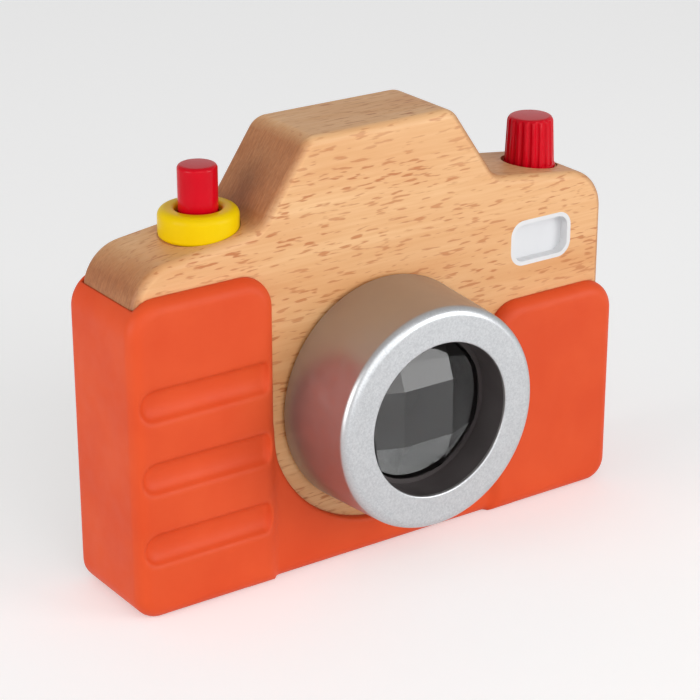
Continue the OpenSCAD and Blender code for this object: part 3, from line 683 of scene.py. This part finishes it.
BEECH = wood("beech", "EEC08C", "D99A61", "BC6F39", "AC8E7B", "C5A998", 0.5)
PANEL = wood("beech_panel", "E7B885", "D3985F", "BC6F39", "AC8E7B", "C5A998", 0.55)
SILICONE = moulded("silicone", "E15325", "DB4B1E", 0.5, grain=2.5, specular_ior_level=0.25)
SILVER = silver("silver_coat_shaded_side", "CED0D2", "B9BBBE", "A6A2A1", 0.34)
BLACK = moulded("black_plastic", "4E4747", "433D3D", 0.42)
RED = moulded("red_gloss", "D6001C", "CA0019", 0.2, depth=0.008, specular_ior_level=0.15)
YELLOW = moulded("yellow_gloss", "EFCB00", "E8C100", 0.34, depth=0.008, specular_ior_level=0.1)
WHITE = moulded("white_plastic", "E2E2E3", "DCDCDD", 0.35)
FROSTED = moulded("frosted_plastic", "DFE0E2", "D8D9DC", 0.5)
PANE = clear("clear_plastic", "E4E6E6", 0.05)
NYLON = moulded("nylon", "D8D4C8", "CCC8BC", 0.5)
STEEL = moulded("zinc_steel", "C2C4C6", "A9ABAE", 0.32, metallic=1.0)
CIRCUIT = moulded("solder_mask", "17603A", "0F4E2D", 0.4)
RESIN = moulded("potting_resin", "1B1B1C", "121213", 0.2)
FOAM = moulded("foam", "2A2A2A", "1E1E1E", 0.9, grain=3, depth=0.15)
SHEATH = moulded("wire_sheath", "A01818", "8C1212", 0.4)

SLOT_MATERIALS = {
    "beech": BEECH, "panel_wood": PANEL, "silicone": SILICONE, "silver": SILVER, "black_plastic": BLACK,
    "clear_plastic": PANE, "red": RED, "yellow": YELLOW, "white_plastic": WHITE, "frosted": FROSTED,
    "nylon": NYLON, "steel": STEEL, "circuit": CIRCUIT, "resin": RESIN, "foam": FOAM, "lead_sheath": SHEATH,
}
for part in frame["record"]["subparts"]:
    solid = nodes[part["node"]]
    solid.data.materials.clear()
    solid.data.materials.append(SLOT_MATERIALS[part["material_slot"]])


# Wooden body and jacket

def pocket():
    """Cutter for the works' pocket, which leaves the screw bosses standing."""
    outline = rounded(box_corners(-POCKET_HALF_W, POCKET_HALF_W, *POCKET_Z, POCKET_R))
    cutter = prism(outline, POCKET_FRONT, WOOD_BACK + CUT_PAST)
    bosses = [
        prism(circle(side * BOSS_X, z, BOSS_R), POCKET_FRONT - CUT_PAST, WOOD_BACK + 2 * CUT_PAST)
        for side in (-1, 1) for z in BOSS_Z
    ]
    cut(cutter, *bosses)
    return cutter


def wood_body():
    body = soft_slab("beech_body", WOOD_CORNERS, WOOD_FRONT, WOOD_BACK, WOOD_EDGE_R)
    flash = rounded(box_corners(flash_low[0], flash_high[0], flash_low[2], flash_high[2], FLASH_R))
    panel = rounded(box_corners(panel_low[0] - SEAT_GAP, panel_high[0] + SEAT_GAP,
                                panel_low[2] - SEAT_GAP, panel_high[2] + SEAT_GAP, PANEL_R))
    before_front = WOOD_FRONT - CUT_PAST
    below_shoulder = POCKET_Z[1] - CUT_PAST
    above_top = wood_high[2] + CUT_PAST
    cut(
        body,
        pocket(),
        prism(panel, PANEL_FRONT, WOOD_BACK + CUT_PAST),
        prism(circle(0, LENS_Z, LENS_BORE_R), before_front, POCKET_FRONT + CUT_PAST),
        prism(circle(0, LENS_Z, lens_bush_high[0]), before_front, WOOD_FRONT + BUSH_SEAT_DEPTH),
        prism(flash, before_front, flash_high[1] + CUT_PAST),
        upright(BUTTON_X, collar_high[0] - BUTTON_X + SEAT_GAP, collar_low[2], above_top),
        upright(BUTTON_X, guide_high[0] - BUTTON_X, below_shoulder, collar_low[2] + CUT_PAST),
        upright(KNOB_X, KNOB_SEAT_R, knob_low[2] - KNOB_SEAT_DEPTH, above_top),
        upright(KNOB_X, knob_bush_high[0] - KNOB_X, below_shoulder, knob_low[2]),
    )
    body.data.shade_smooth()
    crisp(body)
    dress(body, "camera_body", "beech", BEECH, "wood_body")


def jacket():
    margin = 3 * JACKET_STEP
    points, quads = surface_net(jacket_distance, jacket_low - margin, jacket_high + margin, JACKET_STEP)
    skin = shape("soft_jacket", points, quads)
    dress(skin, "camera_body", "silicone", SILICONE, "silicone_jacket")


# Turned pieces and the spring

def lens_barrel():
    front, back = barrel_low[1], barrel_high[1]
    foot = barrel_high[0]
    outer = foot - BARREL_DRAFT
    draft_angle = math.degrees(math.atan(BARREL_DRAFT / (back - front)))
    profile = [(MOUTH_R, front + RING_T)]
    profile += arc((MOUTH_R + BEAD_R, front + BEAD_R), BEAD_R, 180, 270, 4)
    profile += arc((outer - RING_EDGE_R, front + RING_EDGE_R), RING_EDGE_R, 270, 360 - draft_angle, 10)
    profile += arc((foot - BEAD_R, back - BEAD_R), BEAD_R, 0, 90, 3)
    profile += [(outer - BARREL_WALL, back), (outer - BARREL_WALL, front + RING_T)]
    barrel = turned("satin_barrel", profile, (0, 0, LENS_Z), "Y")
    dress(barrel, "lens_assembly", "silver", SILVER, "lens_barrel")


def collar_ring():
    low, high = collar_low[2], collar_high[2]
    outer = collar_high[0] - BUTTON_X
    profile = [(COLLAR_HOLE_R, low)]
    profile += arc((outer - COLLAR_FOOT_R, low + COLLAR_FOOT_R), COLLAR_FOOT_R, 270, 360, 6)
    profile += arc((outer - COLLAR_TOP_R, high - COLLAR_TOP_R), COLLAR_TOP_R, 0, 90, 9)
    hole_edge = (COLLAR_HOLE_R + COLLAR_HOLE_EDGE_R, high - COLLAR_HOLE_EDGE_R)
    profile += arc(hole_edge, COLLAR_HOLE_EDGE_R, 90, 180, 5)
    collar = turned("yellow_collar", profile, (BUTTON_X, 0, 0), "Z")
    dress(collar, "camera_body", "yellow", YELLOW, "collar_ring")


def shutter_button():
    low, top = button_low[2], button_high[2]
    outer = button_high[0] - BUTTON_X
    inner = outer - BUTTON_WALL
    groove_low, groove_high = clip_low[2] - CLIP_PLAY, clip_high[2] + CLIP_PLAY
    groove_r = STEM_R - CLIP_BITE
    profile = [(0, low), (STEM_R, low)]
    profile += [(STEM_R, groove_low), (groove_r, groove_low), (groove_r, groove_high), (STEM_R, groove_high)]
    profile += [(STEM_R, SPRING_SEAT_Z), (inner, SPRING_SEAT_Z), (inner, SKIRT_Z), (outer, SKIRT_Z)]
    profile += arc((outer - BUTTON_EDGE_R, top - BUTTON_EDGE_R), BUTTON_EDGE_R, 0, 90)
    profile += [(0, top)]
    button = turned("red_button", profile, (BUTTON_X, 0, 0), "Z")
    dress(button, "button_assembly", "red", RED, "shutter_button")


def coil_spring(steps=32, sides=10):
    """Coil under the button, built at its rest length; the real coil shortens as the button is pressed."""
    low, high = span("return_spring")
    coil_r = (high[0] - low[0]) / 2 - WIRE_R
    rise = high[2] - low[2] - 2 * WIRE_R
    along = np.arange(COIL_TURNS * steps + 1)
    turn = 2 * math.pi * along[:, None] / steps
    round_wire = 2 * math.pi * np.arange(sides)[None, :] / sides
    reach = coil_r + WIRE_R * np.cos(round_wire)
    height = low[2] + WIRE_R + rise * along[:, None] / along[-1] + WIRE_R * np.sin(round_wire)
    points = np.stack([BUTTON_X + reach * np.cos(turn), reach * np.sin(turn), height], 2).reshape(-1, 3)
    faces = []
    for i in along[:-1]:
        for k in range(sides):
            a, b = i * sides + k, i * sides + (k + 1) % sides
            faces.append((a, b, b + sides, a + sides))
    faces += [range(sides), range(len(points) - sides, len(points))]
    coil = shape("coil_spring", points, faces)
    dress(coil, "camera_body", "steel", STEEL, "return_spring")
    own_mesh(coil)


def advance_knob(steps_per_flute=14, side_levels=6):
    foot, top = knob_low[2], knob_high[2]
    rim_r = knob_high[0] - KNOB_X
    foot_r = rim_r - KNOB_RIM_OUT
    flute_z = foot + KNOB_RIM_H
    bore_r, bore_top = spindle_high[0] - KNOB_X, spindle_high[2]

    def side_r(z):
        return foot_r + (KNOB_TOP_R - foot_r) * (z - flute_z) / (top - flute_z)

    def flutes(radius, z, turn):
        """How far the flutes cut in at this height and angle."""
        if z <= flute_z or radius < KNOB_TOP_R - 2 * KNOB_EDGE_R:
            return 0
        pitch = 2 * math.pi / FLUTE_COUNT
        swing = (turn % pitch) - pitch / 2
        centre = side_r(z) + FLUTE_R - FLUTE_DEPTH
        across = centre * math.sin(swing)
        if abs(across) >= FLUTE_R:
            return 0
        floor = centre * math.cos(swing) - math.sqrt(FLUTE_R ** 2 - across ** 2)
        return min(floor - radius, 0)

    levels = np.linspace(flute_z + FLUTE_RUN_IN_H, top - KNOB_EDGE_R, side_levels)
    profile = [(0, bore_top), (bore_r, bore_top), (bore_r, foot), (rim_r, foot)]
    profile += [(rim_r, flute_z - KNOB_RIM_OUT), (foot_r, flute_z), (foot_r, flute_z + FLUTE_STEP_H)]
    profile += [(side_r(z), z) for z in levels]
    profile += arc((KNOB_TOP_R - KNOB_EDGE_R, top - KNOB_EDGE_R), KNOB_EDGE_R, KNOB_EDGE_START, 90)
    profile += [(0, top)]
    knob = turned("red_knob", profile, (KNOB_X, 0, 0), "Z", FLUTE_COUNT * steps_per_flute, flutes)
    dress(knob, "knob_assembly", "red", RED, "advance_knob")


wood_body()
jacket()
lens_barrel()
collar_ring()
shutter_button()
coil_spring()
advance_knob()


# Stage, light and camera

def seen_strength(tree, unseen, seen):
    """One strength for what is seen, straight, mirrored or through clear plastic, and one for the rest."""
    path = tree.nodes.new("ShaderNodeLightPath")
    looks = path.outputs["Is Camera Ray"]
    for ray in ("Is Glossy Ray", "Is Transmission Ray"):
        either = tree.nodes.new("ShaderNodeMath")
        either.operation = "MAXIMUM"
        tree.links.new(looks, either.inputs[0])
        tree.links.new(path.outputs[ray], either.inputs[1])
        looks = either.outputs["Value"]
    choice = tree.nodes.new("ShaderNodeMapRange")
    choice.inputs["To Min"].default_value = unseen
    choice.inputs["To Max"].default_value = seen
    tree.links.new(looks, choice.inputs["Value"])
    return choice.outputs["Result"]


def stage():
    floor = bpy.data.meshes.new("floor")
    corners = [(x * FLOOR_HALF_W, y * FLOOR_HALF_W, 0) for x, y in ((-1, -1), (1, -1), (1, 1), (-1, 1))]
    floor.from_pydata(corners, [], [(0, 1, 2, 3)])
    obj = bpy.data.objects.new("floor", floor)
    scene.collection.objects.link(obj)
    paint = Paint("pale_floor", roughness=0.9, emission_color=(1, 1, 1, 1))
    cloud = paint.noise(paint.place(), scale=0.002, detail=2)
    paint.colour(paint.ramp(cloud, (0.3, 0.8), (0.7, 0.82)))
    paint.link(seen_strength(paint.tree, 0, FLOOR_LIFT), paint.shader.inputs["Emission Strength"])
    floor.materials.append(paint.material)


def direction(azimuth, elevation):
    a, e = math.radians(azimuth), math.radians(elevation)
    return Vector((math.sin(a) * math.cos(e), -math.cos(a) * math.cos(e), math.sin(e)))


def soft_light(name, azimuth, elevation, distance, size, power):
    """Square lamp that looks at the middle of the part, in metres and watts."""
    lamp = bpy.data.lights.new(name, "AREA")
    lamp.shape = "SQUARE"
    lamp.size = size
    lamp.energy = power
    obj = bpy.data.objects.new(name, lamp)
    scene.collection.objects.link(obj)
    back = direction(azimuth, elevation)
    obj.location = AIM * MM + back * distance
    obj.rotation_euler = (-back).to_track_quat("-Z", "Y").to_euler()


def world():
    made = bpy.data.worlds.new("studio")
    made.use_nodes = True
    scene.world = made
    background = made.node_tree.nodes["Background"]
    background.inputs["Color"].default_value = (1, 1, 1, 1)
    strength = seen_strength(made.node_tree, WORLD_LIGHT, WORLD_SEEN)
    made.node_tree.links.new(strength, background.inputs["Strength"])


def camera():
    lens = bpy.data.cameras.new("photo_camera")
    lens.lens = CAMERA_LENS * CLOSER
    lens.sensor_width = SENSOR_W
    obj = bpy.data.objects.new("photo_camera", lens)
    scene.collection.objects.link(obj)
    place = CAMERA_TARGET + direction(CAMERA_AZIMUTH, CAMERA_ELEVATION) * CAMERA_DISTANCE
    obj.location = place * MM
    obj.rotation_euler = (AIM - place).to_track_quat("-Z", "Y").to_euler()
    scene.camera = obj


stage()
world()
soft_light("key_light", azimuth=34, elevation=12, distance=0.9, size=0.46, power=3.1)
soft_light("front_light", azimuth=-15, elevation=24, distance=1.0, size=0.9, power=3.7)
soft_light("left_light", azimuth=-85, elevation=12, distance=1.0, size=0.6, power=4.6)
soft_light("back_light", azimuth=150, elevation=26, distance=1.1, size=0.9, power=0.4)
camera()
scene.view_settings.view_transform = "Standard"
